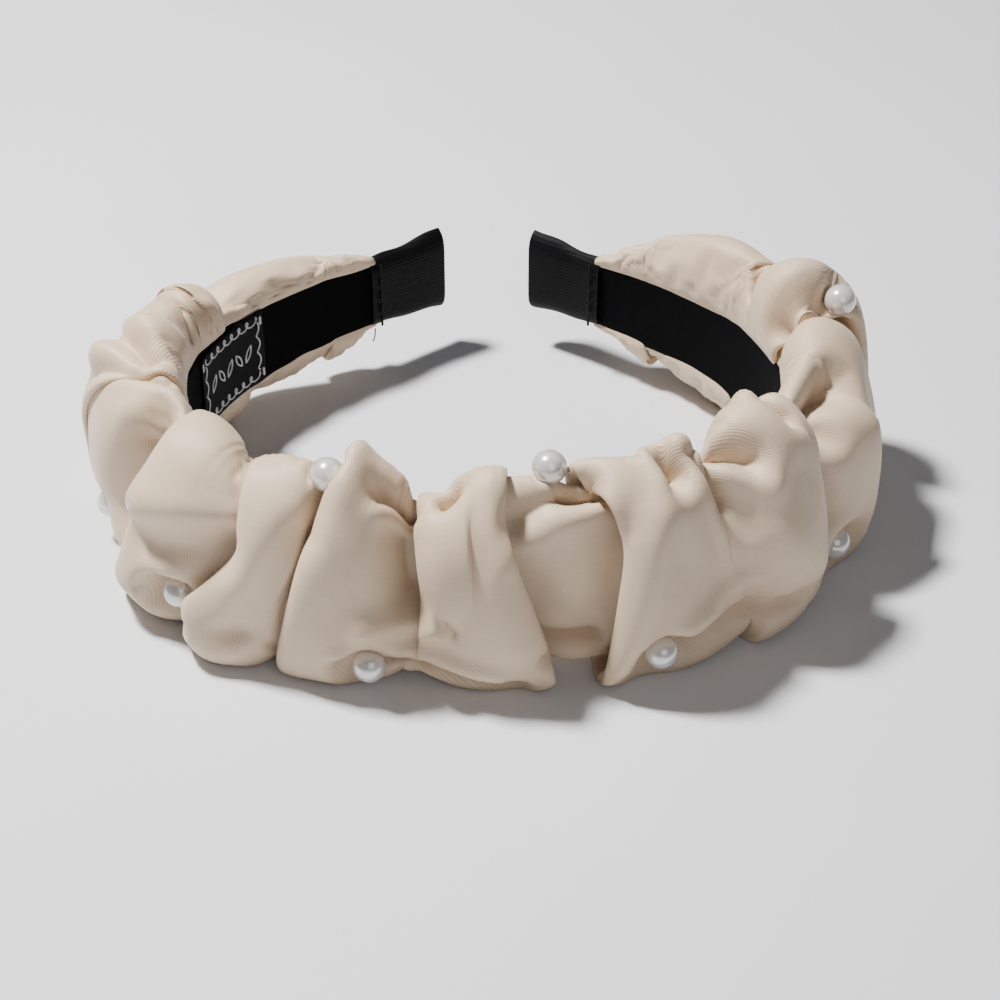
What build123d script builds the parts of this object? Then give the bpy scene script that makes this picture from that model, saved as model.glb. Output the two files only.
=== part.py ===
"""Ruched satin headband with riveted pearls, lying on its side.

A springy plastic hoop carries a strip of wadding on its outside and a gathered satin cover round both.
A black lining closes the inside, ribbon sleeves close the two ends, and a woven label is sewn in.
Millimetres. +Z is up, the crown is towards -Y, and the two tips point towards +Y.
The real hoop bends all along. Here it is three stiff lengths that meet at two flex lines.
"""

import os
from math import cos, pi, radians, sin, tan

from build123d import *

os.makedirs("parts", exist_ok=True)

# Hoop, measured to the inner face of the lining.
inner_half_width = 64.5
widest_y = -0.4
crown_y = -49.9
shoulder = (46.0, -38.9)
arm_back = (48.0, 35.6)
seam_corner = (27.0, 52.6)
tip = (11.8, 64.1)
mid_z = 22.0

# Layers, counted outwards from the inner face of the lining.
hem_level = 0.8
core_inner = 1.2
core_thickness = 2.0
core_outer = core_inner + core_thickness
foam_reach = 8.0
foam_reach_seam = 4.1
crest_reach = 7.0
cover_reach_crown = 13.0
cover_reach_side = 16.0
cover_reach_seam = 4.6

# Heights across the band.
core_half_crown = 15.0
core_half_tip = 7.5
cover_up = 20.0
cover_down = 22.4
hem_turn = 3.0
hem_roll = 1.0
seam_roll = 1.6
side_swell = 85.0

# Lengths along the hoop, from the middle of the crown.
flex_at = 63.0
sleeve_length = 19.0
gather_taper = 42.0
label_middle = -115.0
label_length = 25.0
label_half = 9.4
label_thickness = 0.4

# Flex lines: the soft layers part in a wedge, so that the arms can swing open.
pivot_reach = core_inner + core_thickness / 2
wedge_half_angle = 8.0
wedge_gap = 0.6

# End sleeves of ribbon.
sleeve_half = 11.0
sleeve_inner = -0.9
sleeve_outer = 4.1
core_short_of_tip = 1.6

# Pearls and their rivets.
pearl_radius = 3.5
pearl_bore = 0.62
pearl_bore_depth = 4.0
pin_radius = 0.6
pin_into_pearl = 1.0
pin_length = 7.0
head_radius = 1.2
head_height = 0.7

# Thread.
thread_radius = 0.3
stitch_length = 2.4
sleeve_stitches = 5
tack_length = 3.0

# Pearl number, distance along the hoop, reach outwards, height, lean of its rivet above the horizontal.
pearl_places = [
    (1, -128.0, 17.6, 9.5, -15.0),
    (2, -106.0, 20.4, 20.0, 0.0),
    (3, -84.0, 18.6, 9.0, -10.0),
    (4, -53.5, 17.4, 12.0, -10.0),
    (5, -29.0, 5.0, 45.8, 85.0),
    (6, -21.0, 15.0, 6.4, -20.0),
    (7, 13.2, 1.2, 46.4, 120.0),
    (8, 32.0, 15.4, 8.0, -15.0),
    (9, 73.0, 17.0, 8.0, -15.0),
    (10, 101.0, 18.6, 9.0, -10.0),
    (11, 101.5, 14.6, 46.0, 60.0),
    (12, 124.0, 18.0, 8.5, -15.0),
]

# Where a tacking stitch holds a pleat down on the wadding, along the hoop.
tack_places = [-118.0, -96.0, -76.0, -45.0, -16.0, 5.0, 28.0, 50.0, 82.0, 110.0, 132.0]

with BuildLine() as hoop_builder:
    Spline(
        (0, crown_y),
        shoulder,
        (inner_half_width, widest_y),
        arm_back,
        seam_corner,
        tip,
        tangents=[(1, 0), (tip[0] - seam_corner[0], tip[1] - seam_corner[1])],
    )
hoop = hoop_builder.edge()
hoop_length = hoop.length
seam_at = hoop_length - sleeve_length
core_end = hoop_length - core_short_of_tip
print(f"half hoop {hoop_length:.1f} mm, seam at {seam_at:.1f} mm")


def across(distance, tilt=0.0, shift=0.0):
    """Upright plane across the band: local x points outwards and local y points up.

    distance runs along the hoop from the crown, and is negative on the left.
    tilt turns the plane about the core's middle, and shift moves it along the hoop.
    """
    side = 1 if distance >= 0 else -1
    place = hoop.position_at(abs(distance), position_mode=PositionMode.LENGTH)
    along = hoop.tangent_at(abs(distance), position_mode=PositionMode.LENGTH)
    run = Vector(along.X, side * along.Y, 0)
    outward = Vector(run.Y, -run.X, 0)
    pivot = Vector(side * place.X, place.Y, mid_z) + outward * pivot_reach
    turned = outward.rotate(Axis.Z, tilt)
    origin = pivot - turned * pivot_reach + run * shift
    return Plane(origin=origin, x_dir=turned, z_dir=-run.rotate(Axis.Z, tilt))


def crown_planes():
    """Planes of the crown length, from the left flex line to the right one."""
    steps = 12
    ends = flex_at * (steps - 1) / steps
    left = (-flex_at, across(-flex_at, wedge_half_angle, wedge_gap))
    right = (flex_at, across(flex_at, -wedge_half_angle, -wedge_gap))
    inner = [-ends + 2 * ends * n / (steps - 1) for n in range(steps)]
    return [left] + [(d, across(d)) for d in inner] + [right]


def arm_planes(side):
    """Planes of one arm, from its flex line to the sleeve seam; side is 1 right, -1 left."""
    steps = 11
    flex = (side * flex_at, across(side * flex_at, side * wedge_half_angle, side * wedge_gap))
    first = flex_at + 5.0
    rest = [first + (seam_at - first) * n / (steps - 1) for n in range(steps)]
    return [flex] + [(side * d, across(side * d)) for d in rest]


def end_planes(side):
    """Planes of the bare core inside its sleeve, beyond the seam."""
    places = [seam_at + (core_end - seam_at) * n / 3 for n in (1, 2, 3)]
    return [(side * d, across(side * d)) for d in places]


def core_half(distance):
    """Half the width of the hoop core, which narrows towards the tips."""
    return core_half_crown + (core_half_tip - core_half_crown) * abs(distance) / hoop_length


def fullness(distance):
    """1 where the gathers are full, falling to 0 at the sleeve seam."""
    left = (seam_at - abs(distance)) / gather_taper
    if left >= 1:
        return 1.0
    return max(0.0, sin(left * pi / 2))


def cover_shape(distance):
    """Reach of the crest, reach of the face, and rise and drop from the core's middle."""
    full = fullness(distance)
    toward_side = min(1.0, (distance / side_swell) ** 2)
    full_reach = cover_reach_crown + (cover_reach_side - cover_reach_crown) * toward_side
    reach = cover_reach_seam + (full_reach - cover_reach_seam) * full
    least = core_half(distance) + seam_roll
    rise = least + (cover_up - least) * full
    drop = least + (cover_down - least) * full
    crest = core_outer + (crest_reach - core_outer) * full
    return crest, reach, rise, drop


def strip_outline(inner, outer, half):
    """Plain rectangle across the band."""
    with BuildLine() as outline:
        Polyline((inner, -half), (outer, -half), (outer, half), (inner, half), close=True)
    make_face(outline.edges())


def lining_outline(half):
    """Lining with its thicker middle, which fills the space between the two turned hems."""
    inside = half - hem_turn
    with BuildLine() as outline:
        Polyline(
            (0, -half),
            (hem_level, -half),
            (hem_level, -inside),
            (core_inner, -inside),
            (core_inner, inside),
            (hem_level, inside),
            (hem_level, half),
            (0, half),
            close=True,
        )
    make_face(outline.edges())


def foam_peak(distance):
    """How far out the wadding's dome reaches at a distance."""
    return foam_reach_seam + (foam_reach - foam_reach_seam) * fullness(distance)


def foam_outline(distance):
    """Domed strip of wadding glued to the outside of the core."""
    half = core_half(distance)
    reach = foam_peak(distance)
    with BuildLine() as outline:
        Line((core_outer, -half), (core_outer, half))
        ThreePointArc((core_outer, half), (reach, 0), (core_outer, -half))
    make_face(outline.edges())


def cover_outline(distance):
    """Satin cover: full outside, open on the inside where its two hems turn under the lining."""
    crest, reach, rise, drop = cover_shape(distance)
    core = core_half(distance)
    inside = core - hem_turn
    roll = core + hem_roll
    foam = foam_peak(distance)
    with BuildLine() as outline:
        EllipticalCenterArc((crest, 0), reach - crest, drop, start_angle=270, arc_size=90)
        EllipticalCenterArc((crest, 0), reach - crest, rise, start_angle=0, arc_size=90)
        EllipticalCenterArc(
            (crest, roll), crest - hem_level, rise - roll, start_angle=90, arc_size=90
        )
        Polyline((hem_level, roll), (hem_level, inside), (core_inner, inside), (core_inner, core))
        Line((core_inner, core), (core_outer, core))
        ThreePointArc((core_outer, core), (foam, 0), (core_outer, -core))
        Line((core_outer, -core), (core_inner, -core))
        Polyline((core_inner, -core), (core_inner, -inside), (hem_level, -inside), (hem_level, -roll))
        EllipticalCenterArc(
            (crest, -roll), crest - hem_level, drop - roll, start_angle=180, arc_size=90
        )
    make_face(outline.edges())


def write(builder, name):
    """Label a finished piece and write its STEP file."""
    builder.part.label = name
    export_step(builder.part, f"parts/{name}.step")
    print(f"{name}: {len(builder.part.solids())} solids, {builder.part.volume:.0f} mm3")


def make_core(planes, name):
    """One length of the springy hoop core."""
    with BuildPart() as core:
        for distance, plane in planes:
            with BuildSketch(plane):
                strip_outline(core_inner, core_outer, core_half(distance))
        loft(ruled=True)
    write(core, name)
    return core


def make_foam(planes, name):
    """One length of the wadding."""
    with BuildPart() as foam:
        for distance, plane in planes:
            with BuildSketch(plane):
                foam_outline(distance)
        loft(ruled=True)
    write(foam, name)


def make_lining(planes, name):
    """One length of the black lining."""
    with BuildPart() as lining:
        for distance, plane in planes:
            with BuildSketch(plane):
                lining_outline(core_half(distance))
        loft(ruled=True)
    write(lining, name)
    return lining


def make_cover(planes, name):
    """One length of the gathered cover, flattened where it lies on the table."""
    with BuildPart() as cover:
        for distance, plane in planes:
            with BuildSketch(plane):
                cover_outline(distance)
        loft(ruled=True)
        split(bisect_by=Plane.XY, keep=Keep.TOP)
    write(cover, name)


def make_sleeve(side, core, name):
    """Ribbon pocket over one end of the hoop, closed at the tip."""
    steps = 6
    with BuildPart() as sleeve:
        for n in range(steps):
            distance = side * (seam_at + 0.1 + (sleeve_length - 0.1) * n / (steps - 1))
            with BuildSketch(across(distance)):
                strip_outline(sleeve_inner, sleeve_outer, sleeve_half)
        loft(ruled=True)
        add(core.part, mode=Mode.SUBTRACT)
    write(sleeve, name)


def make_sleeve_stitches(side, name):
    """Row of stitches through the lining side of the sleeve, just beyond its mouth."""
    pitch = 2 * (sleeve_half - 2.0) / sleeve_stitches
    with BuildPart() as stitches:
        for n in range(sleeve_stitches):
            plane = across(side * (seam_at + 1.6))
            height = -sleeve_half + 2.0 + pitch * (n + 0.5)
            start = plane.from_local_coords(Vector(sleeve_inner - thread_radius, height - 1.2, 0))
            with BuildSketch(Plane(origin=start, z_dir=(0, 0, 1))):
                Circle(thread_radius)
            extrude(amount=stitch_length)
    write(stitches, name)


def make_label(lining):
    """Woven label sewn to the lining of the left arm, backed by it all over."""
    steps = 7
    with BuildPart() as label:
        for n in range(steps):
            distance = label_middle + label_length * (n / (steps - 1) - 0.5)
            with BuildSketch(across(distance)):
                strip_outline(-label_thickness, hem_level / 2, label_half)
        loft(ruled=True)
        add(lining.part, mode=Mode.SUBTRACT)
    write(label, "label")


def make_label_stitches():
    """One tacking stitch at each end of the label's top and bottom edges."""
    with BuildPart() as stitches:
        for end in (-1, 1):
            for edge in (-1, 1):
                plane = across(label_middle + end * (label_length / 2 - 0.8))
                inset = Vector(-label_thickness - thread_radius, edge * (label_half - 2.4) - 1.0, 0)
                start = plane.from_local_coords(inset)
                with BuildSketch(Plane(origin=start, z_dir=(0, 0, 1))):
                    Circle(thread_radius)
                extrude(amount=2.0)
    write(stitches, "label_stitches")


def pearl_plane(distance, reach, height, lean):
    """Plane at a pearl's centre whose z axis runs out of the fabric along the rivet."""
    plane = across(distance)
    centre = plane.from_local_coords(Vector(reach, height - mid_z, 0))
    outward = plane.x_dir
    axis = outward * cos(radians(lean)) + Vector(0, 0, 1) * sin(radians(lean))
    return Plane(origin=centre, x_dir=plane.z_dir, z_dir=axis)


def make_pearl(number, distance, reach, height, lean):
    """Round pearl with a blind bore for its rivet."""
    plane = pearl_plane(distance, reach, height, lean)
    with BuildPart(plane) as pearl:
        Sphere(pearl_radius)
        with BuildSketch(plane.offset(-pearl_radius - 0.5)):
            Circle(pearl_bore)
        extrude(amount=pearl_bore_depth + 0.5, mode=Mode.SUBTRACT)
    write(pearl, f"pearl_{number:02d}")


def make_rivets(places, name):
    """Rivets of one body: a pin from inside each pearl and a domed head behind the satin."""
    with BuildPart() as rivets:
        for _, distance, reach, height, lean in places:
            plane = pearl_plane(distance, reach, height, lean)
            with BuildSketch(plane.offset(-pin_into_pearl)):
                Circle(pin_radius)
            extrude(amount=-pin_length)
            with BuildSketch(plane.offset(-pin_into_pearl - pin_length + head_height)):
                Circle(head_radius)
            extrude(amount=-head_height)
    write(rivets, name)


def make_tacks(places, name):
    """Tacking stitches of one body, each lying on the lower edge of the hoop core."""
    with BuildPart() as tacks:
        for distance in places:
            plane = across(distance)
            level = -core_half(distance) + 1.5
            start = plane.from_local_coords(Vector(core_outer + 0.6, level, -tack_length / 2))
            with BuildSketch(Plane(origin=start, z_dir=plane.z_dir)):
                Circle(thread_radius)
            extrude(amount=tack_length)
    write(tacks, name)


crown = crown_planes()
make_core(crown, "core_crown")
make_foam(crown, "wadding_crown")
make_cover(crown, "cover_crown")
make_lining(crown, "lining_crown")

for side, word in ((-1, "left"), (1, "right")):
    arm = arm_planes(side)
    core = make_core(arm + end_planes(side), f"core_{word}")
    make_foam(arm, f"wadding_{word}")
    make_cover(arm, f"cover_{word}")
    lining = make_lining(arm, f"lining_{word}")
    if side < 0:
        make_label(lining)
    make_sleeve(side, core, f"sleeve_{word}")
    make_sleeve_stitches(side, f"sleeve_stitches_{word}")

make_label_stitches()

for place in pearl_places:
    make_pearl(*place)

bodies = {
    "left": lambda distance: distance < -flex_at,
    "crown": lambda distance: abs(distance) < flex_at,
    "right": lambda distance: distance > flex_at,
}
for word, holds in bodies.items():
    make_rivets([place for place in pearl_places if holds(place[1])], f"rivets_{word}")
    make_tacks([distance for distance in tack_places if holds(distance)], f"tacks_{word}")

hinge = across(flex_at).from_local_coords(Vector(pivot_reach, 0, 0))
opened = tan(radians(18.0)) * (cover_reach_side - pivot_reach)
print(f"right flex line at x {hinge.X:.2f}, y {hinge.Y:.2f}; opening closes {opened:.1f} mm of its wedge")
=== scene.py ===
# %% [markdown]
# # A ruched satin headband with pearls
#
# The headband lies on its side. Its crown is towards -Y, its two tips point towards +Y, and +Z is
# up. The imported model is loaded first, as a fixed frame: it says where every hard piece is and how
# the arms move. Everything soft is then made around it, in metres, in the same frame.

import bmesh
import bpy
import math
import numpy as np
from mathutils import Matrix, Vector


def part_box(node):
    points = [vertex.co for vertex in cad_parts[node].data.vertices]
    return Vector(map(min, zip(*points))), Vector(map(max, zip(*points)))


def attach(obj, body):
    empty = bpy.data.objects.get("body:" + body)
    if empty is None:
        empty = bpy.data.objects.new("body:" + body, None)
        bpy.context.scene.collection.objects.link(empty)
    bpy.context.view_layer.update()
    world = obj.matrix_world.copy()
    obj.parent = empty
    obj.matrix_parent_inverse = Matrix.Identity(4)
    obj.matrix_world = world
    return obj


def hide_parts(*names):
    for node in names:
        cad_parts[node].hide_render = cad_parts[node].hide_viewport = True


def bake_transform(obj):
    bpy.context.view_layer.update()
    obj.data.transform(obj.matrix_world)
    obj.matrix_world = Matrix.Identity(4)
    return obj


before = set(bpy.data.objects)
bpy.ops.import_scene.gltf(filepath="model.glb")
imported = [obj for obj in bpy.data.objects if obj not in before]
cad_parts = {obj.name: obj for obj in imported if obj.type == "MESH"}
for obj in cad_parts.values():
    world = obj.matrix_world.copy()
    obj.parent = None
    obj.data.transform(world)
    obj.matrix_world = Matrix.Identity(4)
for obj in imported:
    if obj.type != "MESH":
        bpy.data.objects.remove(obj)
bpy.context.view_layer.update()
MM = 0.001

# %% [markdown]
# ## The hoop line
#
# Every soft piece follows the hoop, so it comes first. The line is the inner face of the lining,
# seen from above. It is a smooth cubic curve through six places on the right half, mirrored for the
# left. `place_on_hoop` turns a distance from the crown, a reach outwards and a height into a point.
# All the shapes below are then drawn on a straight band and bent round the hoop in one go.

# %% The right half of the hoop line, in millimetres
CROWN_Y = -49.9
HOOP_PLACES = np.array([(0, CROWN_Y), (46, -38.9), (64.5, -0.4), (48, 35.6), (27, 52.6), (11.8, 64.1)])
SLEEVE_LENGTH = 19.0
MID_Z = 22.0
CORE_HALF_CROWN = 15.0
CORE_NARROWING = 7.5


def clamped_cubic(knots, values, start, end):
    """Second derivatives of the cubic through values at knots, with the two end slopes given."""
    steps = np.diff(knots)
    size = len(knots)
    system = np.zeros((size, size))
    right = np.zeros((size, values.shape[1]))
    slopes = np.diff(values, axis=0) / steps[:, None]
    system[0, :2] = 2 * steps[0], steps[0]
    right[0] = 6 * (slopes[0] - start)
    for n in range(1, size - 1):
        system[n, n - 1:n + 2] = steps[n - 1], 2 * (steps[n - 1] + steps[n]), steps[n]
        right[n] = 6 * (slopes[n] - slopes[n - 1])
    system[-1, -2:] = steps[-1], 2 * steps[-1]
    right[-1] = 6 * (end - slopes[-1])
    return np.linalg.solve(system, right)


def hoop_samples(count=4000):
    """Points, unit directions and running length along the right half of the hoop."""
    chords = np.linalg.norm(np.diff(HOOP_PLACES, axis=0), axis=1)
    knots = np.concatenate([[0], np.cumsum(chords)])
    last = (HOOP_PLACES[-1] - HOOP_PLACES[-2]) / chords[-1]
    bend = clamped_cubic(knots, HOOP_PLACES, np.array([1.0, 0.0]), last)
    at = np.linspace(0, knots[-1], count)
    span = np.clip(np.searchsorted(knots, at, side="right") - 1, 0, len(knots) - 2)
    width = (knots[span + 1] - knots[span])[:, None]
    after = (at - knots[span])[:, None]
    before = width - after
    points = (bend[span] * before**3 + bend[span + 1] * after**3) / (6 * width)
    points += (HOOP_PLACES[span] / width - bend[span] * width / 6) * before
    points += (HOOP_PLACES[span + 1] / width - bend[span + 1] * width / 6) * after
    along = np.gradient(points, axis=0)
    along /= np.linalg.norm(along, axis=1)[:, None]
    length = np.concatenate([[0], np.cumsum(np.linalg.norm(np.diff(points, axis=0), axis=1))])
    return points, along, length


HOOP_POINTS, HOOP_ALONG, HOOP_LENGTH = hoop_samples()
HALF_LENGTH = HOOP_LENGTH[-1]
SEAM_AT = HALF_LENGTH - SLEEVE_LENGTH
print(f"half hoop {HALF_LENGTH:.1f} mm, sleeve seam at {SEAM_AT:.1f} mm")

# %% From the straight band to the hoop


def hoop_frame(distance):
    """Points, run directions and outward directions at distances from the crown (negative on the left)."""
    distance = np.asarray(distance, float)
    side = np.where(distance >= 0, 1.0, -1.0)
    away = np.abs(distance)
    point = np.stack([np.interp(away, HOOP_LENGTH, HOOP_POINTS[:, k]) for k in (0, 1)], -1)
    along = np.stack([np.interp(away, HOOP_LENGTH, HOOP_ALONG[:, k]) for k in (0, 1)], -1)
    along /= np.linalg.norm(along, axis=-1)[..., None]
    beyond = np.maximum(away - HALF_LENGTH, 0)[..., None]
    point = point + along * beyond
    point[..., 0] *= side
    run = np.stack([along[..., 0], side * along[..., 1]], -1)
    out = np.stack([run[..., 1], -run[..., 0]], -1)
    return point, run, out


def place_on_hoop(distance, reach, height):
    """Points in metres from millimetres along the hoop, outwards from the lining, and up from the table."""
    point, _, out = hoop_frame(distance)
    flat = point + out * np.asarray(reach, float)[..., None]
    height = np.broadcast_to(np.asarray(height, float), flat.shape[:-1])
    return np.concatenate([flat, height[..., None]], -1) * MM


def core_half(distance):
    """Half the width of the hoop core, in millimetres. It narrows towards the tips."""
    return CORE_HALF_CROWN - CORE_NARROWING * np.abs(distance) / HALF_LENGTH


# %% [markdown]
# ## Camera, light and table
#
# The camera looks down at the crown from the front, a little to the right of the headband's middle,
# with a long lens. One large soft lamp stands high on the left and behind, so shadows fall to the
# right and forwards, and a wide weak lamp fills from the front. The table is a plain pale sheet.

# %% Camera
LOOK_AT = Vector((3.6, 0.1, 0.0)) * MM
CAMERA_DISTANCE = 0.490
CAMERA_RISE = math.radians(37)
SENSOR_WIDTH = 36
LENS = 77.6
scene = bpy.context.scene
camera = bpy.data.objects.new("camera", bpy.data.cameras.new("camera"))
scene.collection.objects.link(camera)
back = Vector((0, -math.cos(CAMERA_RISE), math.sin(CAMERA_RISE)))
camera.location = LOOK_AT + back * CAMERA_DISTANCE
camera.rotation_euler = (math.pi / 2 - CAMERA_RISE, 0, 0)
camera.data.sensor_width = SENSOR_WIDTH
camera.data.lens = LENS
camera.data.clip_start = 0.01
scene.camera = camera


# %% Lamps, sky and table


def soft_lamp(name, place, size, watts, tint):
    """A square lamp of the given size that points at the headband."""
    lamp = bpy.data.lights.new(name, "AREA")
    lamp.size = size
    lamp.energy = watts
    lamp.color = tint
    stand = bpy.data.objects.new(name, lamp)
    stand.location = place
    stand.rotation_euler = (Vector((0, 0, 0.02)) - Vector(place)).to_track_quat("-Z", "Y").to_euler()
    scene.collection.objects.link(stand)


soft_lamp("key_lamp", (-0.34, 0.10, 0.80), 0.11, 21.0, (1.0, 0.98, 0.955))
soft_lamp("front_lamp", (0.25, -0.75, 0.55), 0.6, 1.3, (0.95, 0.97, 1.0))
world = bpy.data.worlds.new("room")
world.use_nodes = True
sky = world.node_tree.nodes["Background"]
sky.inputs["Color"].default_value = (0.80, 0.83, 0.90, 1)
sky.inputs["Strength"].default_value = 0.11
scene.world = world


# %% [markdown]
# ## Materials
#
# Each finish is a small node tree. `Finish` keeps the calls short: it adds a node, joins sockets
# and sets plain values. Weave and ribs are waves in the cloth's own coordinates, stored as a UV map
# in millimetres, so they follow the thread through every fold. Values that are the same everywhere
# go straight on the shader's sockets.

# %% A helper for node trees


class Finish:
    """A node material with one Principled shader, built a node at a time."""

    def __init__(self, name, **plain):
        self.material = bpy.data.materials.new(name)
        self.material.use_nodes = True
        self.tree = self.material.node_tree
        self.shader = self.tree.nodes["Principled BSDF"]
        for socket, value in plain.items():
            self.shader.inputs[socket.replace("_", " ")].default_value = value

    def add(self, kind, settings=None, **inputs):
        node = self.tree.nodes.new(kind)
        for key, value in (settings or {}).items():
            setattr(node, key, value)
        for key, value in inputs.items():
            self.feed(node, key.replace("_", " "), value)
        return node

    def feed(self, node, key, value):
        socket = node.inputs[int(key[1:])] if key[0] == "i" and key[1:].isdigit() else node.inputs[key]
        if isinstance(value, bpy.types.NodeSocket):
            self.tree.links.new(value, socket)
        else:
            socket.default_value = value

    def cloth(self, scale):
        """The cloth's own coordinates in millimetres, times scale on each axis."""
        uv = self.add("ShaderNodeUVMap", {"uv_map": "cloth"})
        mapping = self.add("ShaderNodeMapping", Vector=uv.outputs["UV"])
        mapping.inputs["Scale"].default_value = scale
        return mapping

    def place(self):
        return self.add("ShaderNodeTexCoord").outputs["Object"]

    def math(self, operation, a, b=0.0):
        return self.add("ShaderNodeMath", {"operation": operation}, i0=a, i1=b).outputs[0]

    def ramp(self, factor, low, high, colour_low, colour_high):
        ramp = self.add("ShaderNodeValToRGB", Fac=factor)
        ramp.color_ramp.elements[0].position = low
        ramp.color_ramp.elements[1].position = high
        ramp.color_ramp.elements[0].color = (*colour_low, 1)
        ramp.color_ramp.elements[1].color = (*colour_high, 1)
        return ramp.outputs["Color"]

    def bump(self, height, strength, distance, before=None):
        bump = self.add("ShaderNodeBump", Height=height, Strength=strength, Distance=distance)
        if before is not None:
            self.tree.links.new(before.outputs["Normal"], bump.inputs["Normal"])
        return bump

    def finish(self, colour=None, bump=None, roughness=None):
        if colour is not None:
            self.tree.links.new(colour, self.shader.inputs["Base Color"])
        if bump is not None:
            self.tree.links.new(bump.outputs["Normal"], self.shader.inputs["Normal"])
        if roughness is not None:
            self.tree.links.new(roughness, self.shader.inputs["Roughness"])
        return self.material


# %% Satin: a fine diagonal twill with a soft sheen
TWILL_PITCH = 0.42


def satin_finish():
    look = Finish("champagne_satin", Sheen_Weight=0.18, Sheen_Roughness=0.35, Specular_IOR_Level=0.5)
    look.shader.inputs["Sheen Tint"].default_value = (1.0, 0.95, 0.88, 1)
    cloth = look.cloth((1, 1, 1)).outputs["Vector"]
    turned = look.add("ShaderNodeMapping", Vector=cloth)
    turned.inputs["Rotation"].default_value = (0, 0, math.radians(38))
    twill = look.add(
        "ShaderNodeTexWave",
        {"wave_type": "BANDS", "bands_direction": "X"},
        Vector=turned.outputs["Vector"],
        Scale=math.pi / (10 * TWILL_PITCH),
        Distortion=0.4,
        Detail=1.0,
        Detail_Scale=2.0,
    )
    drawn_out = look.cloth((0.12, 1.6, 1)).outputs["Vector"]
    slub = look.add("ShaderNodeTexNoise", Vector=drawn_out, Scale=1.0, Detail=3.0)
    broad = look.add("ShaderNodeTexNoise", Vector=look.place(), Scale=26.0, Detail=2.0, Roughness=0.4)
    fine_share = look.math("MULTIPLY", slub.outputs["Fac"], 0.35)
    broad_share = look.math("MULTIPLY", broad.outputs["Fac"], 0.65)
    tone = look.math("ADD", fine_share, broad_share)
    colour = look.ramp(tone, 0.34, 0.66, (0.62, 0.465, 0.320), (0.71, 0.550, 0.395))
    thread = look.add(
        "ShaderNodeMixRGB",
        {"blend_type": "MULTIPLY"},
        Fac=0.16,
        Color1=colour,
        Color2=twill.outputs["Color"],
    )
    gloss = look.add("ShaderNodeMapRange", Value=slub.outputs["Fac"])
    gloss.inputs["To Min"].default_value = 0.44
    gloss.inputs["To Max"].default_value = 0.56
    weave = look.bump(twill.outputs["Fac"], 0.35, 0.00010)
    soft = look.bump(broad.outputs["Fac"], 0.06, 0.0015, weave)
    return look.finish(thread.outputs["Color"], soft, gloss.outputs["Result"])


satin = satin_finish()

# %% Black lining, ribbed ribbon, woven label ground


def dark_cloth(name, pitch, direction, depth, dark, light, rough, shine):
    """Black cloth whose ribs repeat at pitch millimetres along one cloth axis."""
    look = Finish(name, Specular_IOR_Level=shine)
    cloth = look.cloth((1, 1, 1)).outputs["Vector"]
    ribs = look.add(
        "ShaderNodeTexWave",
        {"wave_type": "BANDS", "bands_direction": direction, "wave_profile": "SIN"},
        Vector=cloth,
        Scale=math.pi / (10 * pitch),
        Distortion=0.25,
        Detail=1.0,
    )
    close_set = look.cloth((2.2, 2.2, 1)).outputs["Vector"]
    picks = look.add("ShaderNodeTexNoise", Vector=close_set, Scale=1.0, Detail=2.0)
    tone = look.math("MULTIPLY", ribs.outputs["Fac"], picks.outputs["Fac"])
    colour = look.ramp(tone, 0.1, 0.62, dark, light)
    lint = look.add("ShaderNodeTexNoise", Vector=look.place(), Scale=2600.0, Detail=1.0)
    specks = look.ramp(lint.outputs["Fac"], 0.74, 0.80, (0, 0, 0), (0.02, 0.02, 0.022))
    total = look.add("ShaderNodeMixRGB", {"blend_type": "ADD"}, Fac=1.0, Color1=colour, Color2=specks)
    gloss = look.add("ShaderNodeMapRange", Value=picks.outputs["Fac"])
    gloss.inputs["To Min"].default_value = rough
    gloss.inputs["To Max"].default_value = rough + 0.15
    relief = look.bump(ribs.outputs["Fac"], 0.8, depth)
    grain = look.bump(picks.outputs["Fac"], 0.3, 0.0001, relief)
    return look.finish(total.outputs["Color"], grain, gloss.outputs["Result"])


lining_cloth = dark_cloth(
    "black_lining",
    pitch=0.45,
    direction="Y",
    depth=0.00005,
    dark=(0.0008, 0.0008, 0.0012),
    light=(0.003, 0.003, 0.004),
    rough=0.75,
    shine=0.05,
)
ribbon_cloth = dark_cloth(
    "black_grosgrain",
    pitch=0.5,
    direction="X",
    depth=0.00006,
    dark=(0.0005, 0.0005, 0.0008),
    light=(0.0036, 0.004, 0.006),
    rough=0.5,
    shine=0.12,
)
label_cloth = dark_cloth(
    "label_damask",
    pitch=0.5,
    direction="X",
    depth=0.00004,
    dark=(0.004, 0.004, 0.005),
    light=(0.007, 0.007, 0.009),
    rough=0.6,
    shine=0.08,
)


# %% Threads, wadding, plastic, pearl and metal


def thread_finish(name, dark, light, twist):
    """Twisted sewing thread: fine slanted bands along it."""
    look = Finish(name, Roughness=0.6, Specular_IOR_Level=0.15)
    strands = look.add(
        "ShaderNodeTexWave",
        {"bands_direction": "DIAGONAL"},
        Vector=look.place(),
        Scale=twist,
        Distortion=1.0,
    )
    colour = look.ramp(strands.outputs["Fac"], 0.1, 0.9, dark, light)
    return look.finish(colour, look.bump(strands.outputs["Fac"], 0.5, 0.00006))


def wadding_finish():
    look = Finish("white_wadding", Roughness=0.95, Sheen_Weight=0.5)
    fibre = look.add("ShaderNodeTexNoise", Vector=look.place(), Scale=1400.0, Detail=5.0, Distortion=1.2)
    colour = look.ramp(fibre.outputs["Fac"], 0.3, 0.7, (0.62, 0.60, 0.56), (0.86, 0.85, 0.82))
    return look.finish(colour, look.bump(fibre.outputs["Fac"], 0.7, 0.0004))


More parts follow.
